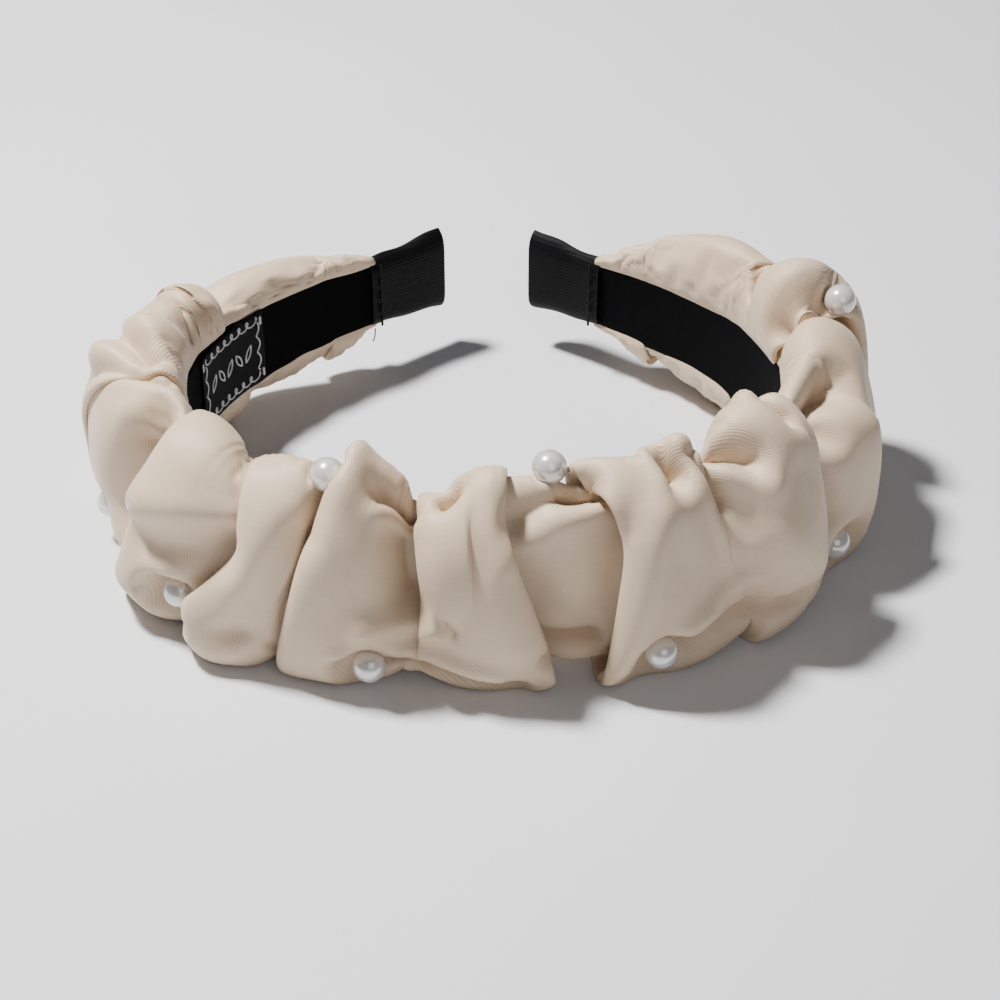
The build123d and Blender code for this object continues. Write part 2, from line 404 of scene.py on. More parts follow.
def core_finish():
    look = Finish("black_moulded_plastic", Specular_IOR_Level=0.2)
    grain = look.add("ShaderNodeTexNoise", Vector=look.place(), Scale=900.0, Detail=3.0)
    scuff = look.add("ShaderNodeTexNoise", Vector=look.place(), Scale=60.0, Detail=4.0)
    colour = look.ramp(scuff.outputs["Fac"], 0.4, 0.7, (0.004, 0.004, 0.005), (0.009, 0.009, 0.01))
    gloss = look.add("ShaderNodeMapRange", Value=scuff.outputs["Fac"])
    gloss.inputs["To Min"].default_value = 0.35
    gloss.inputs["To Max"].default_value = 0.6
    return look.finish(colour, look.bump(grain.outputs["Fac"], 0.3, 0.00005), gloss.outputs["Result"])


def pearl_finish():
    look = Finish("pearl_coat", Coat_Weight=1.0, Coat_Roughness=0.05, Metallic=0.35, Subsurface_Weight=0.1)
    look.shader.inputs["Subsurface Radius"].default_value = (0.004, 0.003, 0.0025)
    look.shader.inputs["Subsurface Scale"].default_value = 0.4
    nacre = look.add("ShaderNodeTexNoise", Vector=look.place(), Scale=140.0, Detail=4.0, Distortion=0.8)
    body = look.ramp(nacre.outputs["Fac"], 0.3, 0.7, (0.66, 0.64, 0.62), (0.76, 0.745, 0.73))
    # Painted shade: towards the pearl's outline, where the view grazes it, its colour is mixed into a
    # darker blue-grey. This painted dark rim stands in for darker reflections; the mix named tint carries
    # this painted shade and is not a dye.
    facing = look.add("ShaderNodeLayerWeight", Blend=0.35)
    rim = look.ramp(facing.outputs["Facing"], 0.35, 0.95, (0, 0, 0), (1, 1, 1))
    tint = look.add("ShaderNodeMixRGB", Color1=body, Color2=(0.50, 0.49, 0.53, 1), Fac=rim)
    gloss = look.add("ShaderNodeMapRange", Value=nacre.outputs["Fac"])
    gloss.inputs["To Min"].default_value = 0.16
    gloss.inputs["To Max"].default_value = 0.30
    relief = look.bump(nacre.outputs["Fac"], 0.03, 0.0004)
    return look.finish(tint.outputs["Color"], relief, gloss.outputs["Result"])


def metal_finish():
    look = Finish("polished_rivet", Metallic=1.0)
    brushed = look.add("ShaderNodeTexNoise", Vector=look.place(), Scale=1800.0, Detail=2.0)
    colour = look.ramp(brushed.outputs["Fac"], 0.3, 0.7, (0.66, 0.65, 0.63), (0.84, 0.83, 0.81))
    gloss = look.add("ShaderNodeMapRange", Value=brushed.outputs["Fac"])
    gloss.inputs["To Min"].default_value = 0.12
    gloss.inputs["To Max"].default_value = 0.28
    return look.finish(colour, None, gloss.outputs["Result"])


def table_finish():
    look = Finish("pale_table", Roughness=0.55, Specular_IOR_Level=0.25)
    mottle = look.add("ShaderNodeTexNoise", Vector=look.place(), Scale=6.0, Detail=3.0)
    colour = look.ramp(mottle.outputs["Fac"], 0.3, 0.7, (0.70, 0.71, 0.74), (0.74, 0.75, 0.775))
    return look.finish(colour)


black_thread = thread_finish("black_thread", (0.0008, 0.0008, 0.001), (0.005, 0.005, 0.006), 900.0)
silver_thread = thread_finish("silver_thread", (0.42, 0.42, 0.45), (0.78, 0.78, 0.80), 1500.0)
satin_thread = thread_finish("champagne_thread", (0.50, 0.40, 0.31), (0.74, 0.62, 0.50), 900.0)
wadding_fibre = wadding_finish()
core_plastic = core_finish()
pearl_coat = pearl_finish()
rivet_metal = metal_finish()

# %% The table
TABLE_HALF = 1.6
table_mesh = bpy.data.meshes.new("table")
TABLE_CORNERS = ((-1, -1), (1, -1), (1, 1), (-1, 1))
corners = [(x * TABLE_HALF, y * TABLE_HALF, 0) for x, y in TABLE_CORNERS]
table_mesh.from_pydata(corners, [], [(0, 1, 2, 3)])
table = bpy.data.objects.new("table", table_mesh)
scene.collection.objects.link(table)
table_mesh.materials.append(table_finish())


# %% [markdown]
# ## Making and moving pieces
#
# A soft piece here is a grid of points: columns go along the hoop and rows go across the band.
# `grid_piece` turns such a grid into a smooth mesh with the cloth's own coordinates. Pieces that
# cross a shoulder only have their placement baked into their mesh; they are not bent at the flex line.

# %% From a grid of points to a piece


def link_piece(name, mesh, material):
    for polygon in mesh.polygons:
        polygon.use_smooth = True
    mesh.materials.append(material)
    piece = bpy.data.objects.new(name, mesh)
    scene.collection.objects.link(piece)
    return piece


def grid_piece(name, points, cloth, material, closed_rows=False):
    """Mesh over points[column, row]; cloth[column, row] is each point's place on the flat cloth, in mm."""
    columns, rows = points.shape[:2]
    number = np.arange(columns * rows).reshape(columns, rows)
    if closed_rows:
        number = np.concatenate([number, number[:, :1]], 1)
    sides = [number[:-1, :-1], number[1:, :-1], number[1:, 1:], number[:-1, 1:]]
    quads = np.stack(sides, -1).reshape(-1, 4)
    mesh = bpy.data.meshes.new(name)
    mesh.from_pydata(points.reshape(-1, 3).tolist(), [], quads.tolist())
    layer = mesh.uv_layers.new(name="cloth")
    flat = cloth.reshape(-1, 2)
    layer.data.foreach_set("uv", flat[quads.reshape(-1)].astype(np.float32).reshape(-1))
    return link_piece(name, mesh, material)


def thicken(piece, millimetres, offset=-1.0):
    """Give a sheet its real thickness."""
    layer = piece.modifiers.new("thickness", "SOLIDIFY")
    layer.thickness = millimetres * MM
    layer.offset = offset
    layer.use_even_offset = False


def running_length(points):
    """Mean running length along the first axis of a grid of points, in millimetres."""
    steps = np.linalg.norm(np.diff(points, axis=0), axis=-1)
    steps = steps.mean(axis=1) if steps.ndim == 2 else steps
    return np.concatenate([[0], np.cumsum(steps)]) / MM


# %% Pieces across the shoulders
SIDES = (("left", -1), ("right", 1))


def bend_at_shoulder(piece):
    """Bake a piece's placement into its mesh; it is not bent at the flex line."""
    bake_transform(piece)


# %% [markdown]
# ## The gathered cover
#
# The cover is one wide strip of heavy satin. Its two long edges are gathered and turned under the
# lining, so the cloth between them is far longer than the hoop and stands in large soft pleats that
# lap over each other.
#
# A cloth simulation would invent its own pleats, so each pleat is drawn as a pattern cutter would
# mark it. The band is first drawn flat, as a net of control points. Rows of the net run across the
# band, from the top hem over the crest, down the face and under to the bottom hem. Along the band,
# every pleat adds an S to the net: the upper layer goes out to the fold, turns back under itself,
# and turns again into the lower layer. A smooth spline surface through that net then rolls every
# fold with a soft radius, as satin does.

# %% Rows of the net: the band's section without pleats
# Places along the band, and there: the crest's height, the face's reach outwards and the foot's
# height, in mm.
CREST_PLACES = np.array([
    -161, -156, -148, -138, -122, -114, -106, -96, -85, -74, -62, -52, -45, -38,
    -30, -23, -18, -13, -8, -4, 1, 7, 13, 20, 28, 34, 39, 44,
    50, 56, 63, 72, 82, 92, 100, 107, 114, 124, 136, 146, 155, 161.0
])
CREST_HEIGHTS = np.array([
    30.5, 33, 35, 36.5, 38, 39.5, 45, 46.5, 46.5, 45, 44, 43, 41, 44,
    45.5, 48.5, 45, 38.5, 37.5, 43.5, 46, 46.0, 46.5, 44, 44, 48, 49, 47.5,
    48, 48.5, 48, 46, 46, 47, 48.5, 48.0, 45.5, 44.5, 42, 39.5, 35, 30.5
])
FULL_PLACES = np.array([
    -161, -152, -142, -128, -108, -95, -82, -70, -58, -45, -20,
    10, 40, 60, 72, 90, 110, 128, 143, 153, 161.0
])
FACE_REACHES = np.array([
    3.4, 5.5, 8, 14, 16.5, 20, 20.8, 18, 15.2, 14.6, 12.8,
    12.5, 12.8, 13.8, 16, 20.2, 17.5, 14, 9, 6.5, 3.4
])
FOOT_HEIGHTS = np.array([
    13.5, 9, 5, 2.0, 1.0, 0.6, 0.6, 0.6, 0.6, 0.6, 0.6,
    0.6, 0.6, 0.6, 0.6, 0.6, 1.0, 2.0, 5, 9, 13.5
])


def smooth_between(x, places, values, blur=8.0):
    """Smooth curve through values at places, averaged over a stretch of blur to each side."""
    x = np.asarray(x, float)
    weight = np.cos(np.linspace(-1, 1, 15)[1:-1] * math.pi / 2)
    shifts = np.linspace(-blur, blur, 13)
    return sum(w * np.interp(x + b, places, values) for b, w in zip(shifts, weight)) / weight.sum()


def band_rows(distance):
    """Reach and height of each net row at each distance: arrays [row, column]."""
    crest = smooth_between(distance, CREST_PLACES, CREST_HEIGHTS, 2.5)
    reach = smooth_between(distance, FULL_PLACES, FACE_REACHES)
    foot = smooth_between(distance, FULL_PLACES, FOOT_HEIGHTS)
    top = MID_Z + core_half(distance)
    low = MID_Z - core_half(distance)
    one = np.ones_like(crest)
    rise = crest - MID_Z
    rows = [
        (1.4 * one, top - 3.0),
        (1.2 * one, top - 1.0),
        (0.3 * one, top + 0.6),
        (0.04 * reach, 0.45 * top + 0.55 * crest),
        (0.20 * reach, crest + 0.6),
        (0.56 * reach, crest - 0.02 * rise),
        (0.90 * reach, MID_Z + 0.66 * rise),
        (1.04 * reach, MID_Z + 0.22 * rise),
        (1.07 * reach, MID_Z * 0.80),
        (1.06 * reach, MID_Z * 0.42 + 0.2 * foot),
        (0.96 * reach, foot + 2.0),
        (0.66 * reach, foot + 0.0),
        (0.22 * reach, 0.55 * foot + 0.45 * low),
        (0.3 * one, low - 0.6),
        (1.2 * one, low + 1.0),
        (1.4 * one, low + 3.0),
    ]
    return np.array([r[0] for r in rows]), np.array([r[1] + 0 * one for r in rows])


# For each row: its level (0 crest, 1 upper face, 2 middle, 3 lower face, 4 foot, below 0 inside,
# above 4 under), how much it takes part in the pleats, and which way is away from the band there.
ROW_LEVEL = np.array([-1.6, -1.3, -1.0, -0.5, 0, 0.35, 0.95, 1.5, 2.15, 3.0, 3.7, 4.1, 4.6, 5.0, 5.2, 5.4])
ROW_SHARE = np.array([0, 0.02, 0.16, 0.80, 1, 1, 1, 1, 1, 1, 1, 0.8, 0.5, 0.16, 0.02, 0])
ROW_LEAN = np.radians([180, 175, 165, 140, 95, 62, 24, 6, 0, -6, -30, -88, -140, -170, -178, -180.0])
print("net rows", len(ROW_SHARE))

# %% The pleats
# One line for each fold: where its edge runs at five levels, which layer is on top (-1 the one on
# the edge's right, +1 the one on its left, seen from outside), and how strong the lap is at the
# same five levels.
PLEAT_LEVELS = (0, 0.95, 1.7, 2.7, 3.7)
PLEATS = [
    ("tail_left", (-148, -146, -145, -146, -148), 1, (0.1, 0.1, 0.1, 0.4, 0.5)),
    ("notch_left", (-114, -117, -120, -122, -123), -1, (0.75, 0.5, 0.4, 0.6, 0.8)),
    ("rear_left", (-104, -107, -109, -110, -111), 1, (0.2, 0.3, 0.4, 0.6, 0.6)),
    ("bump_left", (-90, -95, -100, -103, -103), -1, (0.4, 0.4, 0.4, 0.7, 0.9)),
    ("crease_left", (-77, -83, -90, -92, -92), 1, (0.2, 0.2, 0.2, 0.3, 0.6)),
    ("pocket_left", (-60, -61.5, -62.5, -66, -69), -1, (1.0, 1.5, 1.6, 1.4, 1.0)),
    ("panel_left", (-44, -41, -42.5, -54.5, -50), -1, (0.5, 1.0, 1.2, 1.3, 1.2)),
    ("front_left", (-23.5, -29, -31.5, -33.5, -35.5), -1, (1.0, 1.2, 1.2, 1.2, 1.1)),
    ("pouch", (-12, -11.2, -10, -12, -13), -1, (0.4, 1.4, 1.3, 0.0, 0.0)),
    ("ridge_middle", (5, 4.2, 8, 11.5, 12), 1, (0.3, 0.7, 1.2, 1.3, 1.3)),
    ("panel_right", (17, 26.5, 24.8, 24, 22.5), -1, (0.9, 1.3, 1.3, 1.3, 1.1)),
    ("dart_right", (40.5, 42.5, 44, 46, 47), 1, (0.8, 0.25, 0.0, 0.0, 0.0)),
    ("lip_right", (58.5, 60, 60.5, 60, 58), 1, (1.0, 1.2, 1.3, 1.3, 1.2)),
    ("lip_second", (63.5, 63.5, 64, 64, 62.5), 1, (0.5, 0.8, 0.8, 0.8, 0.8)),
    ("side_right", (84, 82, 80, 80, 82), 1, (0.1, 0.2, 0.3, 0.6, 0.7)),
    ("stud_right", (99, 102, 100, 100, 100), -1, (1.2, 1.2, 0.7, 0.7, 0.9)),
    ("rear_right", (119, 117, 115, 116, 118), -1, (0.12, 0.2, 0.3, 0.6, 0.9)),
    ("tail_right", (148, 146, 145, 145, 146), -1, (0.05, 0.1, 0.1, 0.4, 0.6)),
]
LAP = 6.5
DEPTH = 7.0
PUFF = 1.0
EDGE_BACK = 2.2
FOLD_STEPS = np.array([-1.0, 0.45, 0.5, -0.9, -1.0, 0.6])
FOLD_DROPS = np.array([0.0, -0.04, 0.42, 0.56, 1.0, 1.02])
EVEN_STEPS = np.array([-2.5, -1.5, -0.5, 0.5, 1.5, 2.5]) * 0.8


def fold_columns(at, over, strength):
    """Six net columns of one fold, for every row: places along the hoop and heights above the band."""
    shape = np.minimum(1.0, strength)[:, None]
    steps = FOLD_STEPS * LAP
    drops = (0.5 - FOLD_DROPS) * DEPTH
    if over < 0:
        steps = -steps[::-1]
        drops = drops[::-1]
    at = at - over * EDGE_BACK * np.minimum(1.0, strength)
    places = at[:, None] + shape * steps + (1 - shape) * EVEN_STEPS
    heights = strength[:, None] * drops
    return places, heights


def pleat_net():
    """The control net: places along the hoop and heights above the band, arrays [row, column]."""
    places = [np.full((len(ROW_LEVEL), 1), -SEAM_AT - 0.8)]
    heights = [np.zeros((len(ROW_LEVEL), 1))]
    starts = {}
    for name, at, over, strength in PLEATS:
        here = np.interp(ROW_LEVEL, PLEAT_LEVELS, at)
        power = np.interp(ROW_LEVEL, PLEAT_LEVELS, strength) * ROW_SHARE
        fold_at, fold_height = fold_columns(here, over, power)
        last_at = places[-1][:, -1]
        last_height = heights[-1][:, -1]
        gap = fold_at[:, 0] - last_at
        swell = PUFF * np.clip(gap / 14.0, 0, 1.3) * ROW_SHARE
        for share in (0.33, 0.67):
            places.append((last_at + share * gap)[:, None])
            heights.append((last_height * (1 - share) + fold_height[:, 0] * share + swell)[:, None])
        starts[name] = sum(p.shape[1] for p in places)
        places.append(fold_at)
        heights.append(fold_height)
    last_at = places[-1][:, -1]
    for share in (0.33, 0.67, 1.0):
        places.append((last_at + share * (SEAM_AT + 0.8 - last_at))[:, None])
        heights.append(((1 - share) * PUFF * ROW_SHARE)[:, None])
    return np.concatenate(places, 1), np.concatenate(heights, 1), starts


net_places, net_heights, fold_start = pleat_net()
print("net", net_places.shape, "folds", len(PLEATS))

# %% From the net to a smooth surface


def net_points(places, heights):
    """Bend the net round the hoop."""
    reach = np.zeros_like(places)
    height = np.zeros_like(places)
    for row in range(len(places)):
        base_reach, base_height = band_rows(places[row])
        reach[row] = base_reach[row] + heights[row] * math.cos(ROW_LEAN[row])
        height[row] = base_height[row] + heights[row] * math.sin(ROW_LEAN[row])
    return place_on_hoop(places, reach, height)


def spline_weights(count, samples):
    """Clamped uniform cubic spline weights for samples spread over count control points."""
    knots = np.concatenate([[0] * 3, np.arange(count - 2), [count - 3] * 3]).astype(float)
    at = np.clip(samples, 0, count - 3 - 1e-9)
    basis = np.zeros((len(at), len(knots) - 1))
    span = np.searchsorted(knots, at, side="right") - 1
    basis[np.arange(len(at)), span] = 1
    for degree in (1, 2, 3):
        for n in range(len(knots) - 1 - degree):
            left = knots[n + degree] - knots[n]
            right = knots[n + degree + 1] - knots[n + 1]
            value = 0
            if left > 0:
                value = (at - knots[n]) / left * basis[:, n]
            if right > 0:
                value = value + (knots[n + degree + 1] - at) / right * basis[:, n + 1]
            basis[:, n] = value
    return basis[:, :count]


ALONG_FINE = 6
ACROSS_FINE = 8
net = net_points(net_places, net_heights)
row_count, column_count = net_places.shape
across_at = np.linspace(0, row_count - 3, (row_count - 3) * ACROSS_FINE + 1)
along_at = np.linspace(0, column_count - 3, (column_count - 3) * ALONG_FINE + 1)
across_weights = spline_weights(row_count, across_at)
along_weights = spline_weights(column_count, along_at)
surface = np.einsum("ar,rcx,bc->bax", across_weights, net, along_weights)
places = np.einsum("ar,rc,bc->ba", across_weights, net_places, along_weights)
levels = np.broadcast_to(across_weights @ ROW_LEVEL, places.shape)
print("cover surface", surface.shape)

# %% [markdown]
# ### Hollows and swellings
#
# Between the pleats the satin isn't even: where a gather pulls, it sinks into pockets and darts,
# and beside them it swells. Each of these is a stroke on the band, from one place and level to
# another, with a half width and a depth. A negative depth pushes the cloth towards the core. The
# strokes only move the surface the pleats already made.

# %% Strokes on the cover
# name, from (place, level), to (place, level), half width, depth; places, widths and depths in mm.
STROKES = [
    ("pocket_side", (-66.5, 0.7), (-71, 2.3), 5.5, -8.5),
    ("crease_side", (-71, 0.95), (-62, 0.25), 1.4, -3.0),
    ("roll_side", (-74, 0.75), (-66, 0.2), 2.4, 1.6),
    ("belly_left", (-54, 0.6), (-46, 0.5), 5.0, 1.4),
    ("fall_left", (-58, 1.75), (-45, 1.35), 3.2, -4.0),
    ("brow_left", (-60, 1.25), (-45, 0.95), 2.2, 1.6),
    ("toe_left", (-62, 2.7), (-57, 3.1), 4.0, 1.6),
    ("lobe_left", (-50, 2.4), (-46, 3.2), 4.5, 2.6),
    ("gutter_left", (-33, 1.1), (-42, 2.7), 2.6, -2.8),
    ("hollow_left", (-28.5, 0.2), (-30, 1.0), 2.2, -2.6),
    ("peak_left", (-23.5, -0.1), (-24.5, 0.5), 2.4, 1.8),
    ("tuck_front", (-19, 0.40), (-13, 0.34), 1.6, -6.0),
    ("tuck_lip", (-19, 0.68), (-13, 0.62), 1.4, 1.2),
    ("pouch_deep", (-14.5, 0.95), (-13.5, 1.6), 4.0, -3.8),
    ("pouch_rim", (-20, 2.15), (-9, 2.15), 2.4, 2.4),
    ("loop_front", (-6.5, 0.3), (-4, 0.22), 1.5, -5.5),
    ("nick_front", (-7, 1.95), (-5, 2.25), 0.9, -1.6),
    ("flap_lip", (-24, 2.75), (2, 3.05), 1.8, 1.4),
    ("flap_under", (-24, 3.15), (6, 3.5), 2.0, -3.6),
    ("ridge_front", (1, 0.4), (5, 2.4), 2.8, 1.4),
    ("eye_middle", (15.5, 0.42), (19.5, 0.36), 1.9, -6.0),
    ("eye_lip", (13, 0.78), (21, 0.62), 1.5, 1.2),
    ("bar_middle", (5, 1.15), (23, 0.7), 2.2, 1.6),
    ("dip_middle", (6, 0.8), (12, 0.55), 2.4, -1.6),
    ("sink_middle", (12, 1.9), (18, 2.5), 4.0, -1.2),
    ("slit_middle", (11, 2.85), (21, 2.9), 1.3, -3.6),
    ("toe_middle", (13, 3.3), (22, 3.35), 2.0, 1.6),
    ("roll_right", (31, 0.9), (25, 3.0), 2.8, 1.8),
    ("loop_right", (34, 0.2), (35.5, 0.5), 2.2, -8.0),
    ("loop_rim", (31, 0.1), (32, 0.5), 1.5, 1.2),
    ("dart_deep", (39.5, 0.25), (43, 0.98), 1.6, -4.0),
    ("valley_right", (42.5, 0.05), (49, 0.62), 2.1, -5.4),
    ("brow_right", (45, 0.62), (50, 0.95), 2.0, 1.4),
    ("belly_right", (50, 1.4), (56, 2.1), 4.5, 2.4),
    ("dale_right", (45, 1.15), (56, 1.1), 3.0, -1.4),
    ("flat_right", (35, 1.4), (42, 2.1), 4.0, -1.6),
    ("arch_right", (32, 2.6), (46, 2.05), 2.2, 1.6),
    ("undercut_right", (38, 3.0), (54, 2.8), 2.8, -3.6),
    ("seat_right", (30, 3.35), (36, 3.1), 3.4, -4.6),
    ("lump_right", (49, -0.45), (51, -0.25), 2.0, 1.8),
    ("lump_second", (55, -0.5), (56, -0.15), 2.0, 2.2),
    ("teardrop_right", (58, 0.12), (58.5, 0.42), 1.5, -6.5),
    ("mouth_side", (69, 0.25), (80, 0.5), 3.8, -9.5),
    ("mouth_low", (68, 0.6), (71, 0.9), 2.8, -6.0),
    ("gutter_side", (66, 1.2), (68, 2.0), 2.6, -4.5),
    ("belly_side", (80, 1.4), (84, 2.4), 5.0, 1.6),
    ("shoulder_rear", (90, -0.4), (93, 0.5), 4.5, 2.0),
    ("pocket_rear", (99.5, -0.45), (101, 0.5), 2.4, -8.0),
    ("shoulder_stud", (104.5, 0.3), (106, 0.8), 4.5, 1.6),
    ("dimple_rear", (115.5, -0.12), (117, 0.02), 1.2, -4.5),
    ("dimple_second", (113.5, -0.42), (115, -0.28), 1.0, -4.0),
    ("cushion_rear", (126, 0.2), (142, 0.6), 5.0, 1.4),
    ("bump_side", (-89, -0.3), (-88, 0.5), 4.0, 3.0),
    ("slit_side", (-96, 0.75), (-81, 0.1), 1.6, -4.4),
    ("line_side", (-92, 1.3), (-75, 0.0), 1.2, -2.4),
    ("seam_rear", (-107, 0.6), (-101, -0.6), 1.1, -2.2),
    ("knot_rear", (-111, -0.9), (-109, -0.4), 1.8, 1.8),
    ("cushion_left", (-126, 0.2), (-144, 0.6), 5.0, 1.2),
]
LEVEL_SPAN = 10.5


def stroke_depth(places, levels):
    """Sum of all strokes at every point of the surface, in millimetres."""
    total = np.zeros_like(places)
    across = levels * LEVEL_SPAN
    for _, start, end, half, depth in STROKES:
        a = np.array([start[0], start[1] * LEVEL_SPAN])
        step = np.array([end[0], end[1] * LEVEL_SPAN]) - a
        along = ((places - a[0]) * step[0] + (across - a[1]) * step[1]) / (step @ step)
        along = np.clip(along, 0, 1)
        gap = np.hypot(places - a[0] - along * step[0], across - a[1] - along * step[1])
        total += depth * np.exp(-((gap / half) ** 2))
    return total


def away_from_band(places, levels):
    """Unit directions away from the band at every point."""
    lean = np.interp(levels, ROW_LEVEL, ROW_LEAN)
    _, _, out = hoop_frame(places)
    return np.concatenate([out * np.cos(lean)[..., None], np.sin(lean)[..., None]], -1)


def wadding_fullness(distance):
    """Share of the wadding's full thickness at a distance from the crown: none at the seam."""
    return np.sin(np.clip((SEAM_AT - np.abs(distance)) / 42.0, 0, 1) * math.pi / 2)


def whole_hoop(step=1):
    """Points, run directions and distances along the whole hoop, left tip to right tip."""
    points = np.concatenate([HOOP_POINTS[::-1] * (-1, 1), HOOP_POINTS[1:]])
    run = np.concatenate([HOOP_ALONG[::-1] * (1, -1), HOOP_ALONG[1:]])
    distance = np.concatenate([-HOOP_LENGTH[::-1], HOOP_LENGTH[1:]])
    return points[::step], run[::step], distance[::step]


def off_the_wadding(points, levels):
    """Push points of the face outwards where they would sink into the wadding."""
    flat = points[..., :2] / MM
    hoop, run, distance = whole_hoop(8)
    nearest = np.empty(flat.shape[:2], int)
    for n, column in enumerate(flat):
        nearest[n] = np.argmin(((column[:, None, :] - hoop[None]) ** 2).sum(-1), axis=1)
    out = np.stack([run[nearest][..., 1], -run[nearest][..., 0]], -1)
    reach = ((flat - hoop[nearest]) * out).sum(-1)
    face = WADDING_BACK + WADDING_EDGE + WADDING_SWELL * wadding_fullness(distance[nearest])
    edge = np.clip((points[..., 2] / MM - MID_Z) / 15.0, -1, 1) ** 4
    least = face + SATIN_CLEAR - 0.6 * face * edge
    facing = (levels > 0.7) & (levels < 3.4)
    soft = 1.5
    short = np.where(facing & (reach < least + soft), least + soft - reach, 0)
    lift = short - soft * np.tanh(short / soft)
    return np.concatenate([points[..., :2] + out * (lift * MM)[..., None], points[..., 2:]], -1)


WADDING_BACK = 3.25
WADDING_EDGE = 0.9
WADDING_SWELL = 1.7
SATIN_CLEAR = 0.7
HIDDEN_SINK = 0.03
strokes = stroke_depth(places, levels)
surface = surface + away_from_band(places, levels) * (strokes * MM)[..., None]
surface = off_the_wadding(surface, levels)
print(f"strokes {len(STROKES)}, deepest {strokes.min():.1f} mm, highest {strokes.max():.1f} mm")

# %% [markdown]
# ### Settling as cloth
#
# The pleats and strokes are smooth, and real satin isn't. So the surface is now run as cloth for a
# few frames: it is held hard at its hems and softly on its face, and its pattern is made a few
# hundredths too large. The spare cloth has to go somewhere, and buckles into small soft puckers
# along the folds. The run uses a coarser grid at twenty times full size, because the solver likes
# larger pieces. Its movement is then spread over the fine grid.

# %% Let the cloth settle
SETTLE_SCALE = 20.0
SETTLE_FRAMES = 14
SETTLE_STEP = 2
SETTLE_GROW = 0.055
SETTLE_HOLD = 0.1


def settle(points, grow, hold):
    """Relax the pleated surface as cloth that is a little larger than its pattern, held at its hems."""
    coarse = points[::SETTLE_STEP, ::SETTLE_STEP]
    columns, rows = coarse.shape[:2]
    piece = grid_piece("settling", coarse * SETTLE_SCALE, np.zeros((columns, rows, 2)), satin)
    held = piece.vertex_groups.new(name="held")
    share = np.abs(np.linspace(-1, 1, rows))
    weights = np.clip(hold + (1 - hold) * np.clip((share - 0.62) / 0.22, 0, 1), 0, 1)
    for row, weight in enumerate(weights):
        held.add([column * rows + row for column in range(columns)], float(weight), "REPLACE")
    held.add([n for n in range(rows)] + [(columns - 1) * rows + n for n in range(rows)], 1.0, "REPLACE")
    cloth = piece.modifiers.new("cloth", "CLOTH")
    rules = cloth.settings
    rules.quality = 5
    rules.mass = 0.4
    rules.air_damping = 4.0
    rules.tension_stiffness = 25
    rules.compression_stiffness = 25
    rules.shear_stiffness = 8
    rules.bending_stiffness = 0.25
    rules.vertex_group_mass = "held"
    rules.pin_stiffness = 1.0
    rules.shrink_min = -grow
    rules.effector_weights.gravity = 0.0
    cloth.collision_settings.use_collision = False
    cloth.collision_settings.use_self_collision = False
    cloth.point_cache.frame_start = 1
    cloth.point_cache.frame_end = SETTLE_FRAMES
    for number in range(1, SETTLE_FRAMES + 1):
        scene.frame_set(number)
    shape = piece.evaluated_get(bpy.context.evaluated_depsgraph_get()).data
    settled = np.empty(columns * rows * 3)
    shape.vertices.foreach_get("co", settled)
    scene.frame_set(1)
    bpy.data.objects.remove(piece)
    return (settled.reshape(coarse.shape) - coarse * SETTLE_SCALE) / SETTLE_SCALE


def spread(field, shape):
    """Linear interpolation of a coarse field to the full grid."""
    for axis in (0, 1):
        fine = np.arange(shape[axis]) / SETTLE_STEP
        low = np.clip(fine.astype(int), 0, field.shape[axis] - 2)
        part = (fine - low).reshape([-1 if k == axis else 1 for k in range(3)])
        field = np.take(field, low, axis) * (1 - part) + np.take(field, low + 1, axis) * part
    return field


movement = settle(surface, grow=SETTLE_GROW, hold=SETTLE_HOLD)
largest = np.linalg.norm(movement, axis=-1).max() / MM
print(f"settled, largest move {largest:.2f} mm")
surface = surface + spread(movement, surface.shape)
surface = off_the_wadding(surface, levels)

# %% Seats for the pearls
# A rivet pulls the satin in behind its pearl, so the cloth dips there and the whole pearl stands in
# front of it.
PEARL_RADIUS = 3.5
SEAT_INNER = 3.9
SEAT_OUTER = 8.5
SEAT_OUTER_TOP = 5.3
SEAT_LEAN = -10
SEAT_LEAN_TOP = 82
SEAT_SINK = 0.45
TOP_PEARL_HEIGHT = 40.0


def seat_pearls(points):
    """Dent the surface behind each pearl, along the way its rivet points."""
    hoop, run, _ = whole_hoop()
    for name in sorted(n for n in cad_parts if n.startswith("pearl_")):
        low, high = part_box(name)
        middle = (np.array(low) + np.array(high)) / 2 / MM
        near = run[int(np.argmin(np.linalg.norm(hoop - middle[:2], axis=1)))]
        on_top = middle[2] > TOP_PEARL_HEIGHT
        outer = SEAT_OUTER_TOP if on_top else SEAT_OUTER
        lean = math.radians(SEAT_LEAN_TOP if on_top else SEAT_LEAN)
        axis = np.array([near[1] * math.cos(lean), -near[0] * math.cos(lean), math.sin(lean)])
        offset = points / MM - middle
        ahead = offset @ axis
        aside = np.linalg.norm(offset - ahead[..., None] * axis, axis=-1)
        share = np.clip((outer - aside) / (outer - SEAT_INNER), 0, 1)
        share = share * share * (3 - 2 * share)
        floor = -SEAT_SINK * PEARL_RADIUS
        over = np.where((ahead > floor) & (ahead < PEARL_RADIUS + 2.5), ahead - floor, 0)
        points = points - axis * (over * share * MM)[..., None]
    return points


surface = seat_pearls(surface)

# %% The two ends, drawn in
# The maker binds each end of the cover onto its sleeve, so the satin lies close there.
END_RUN = 6.0
END_REACH = 4.35
END_HALF = 10.5


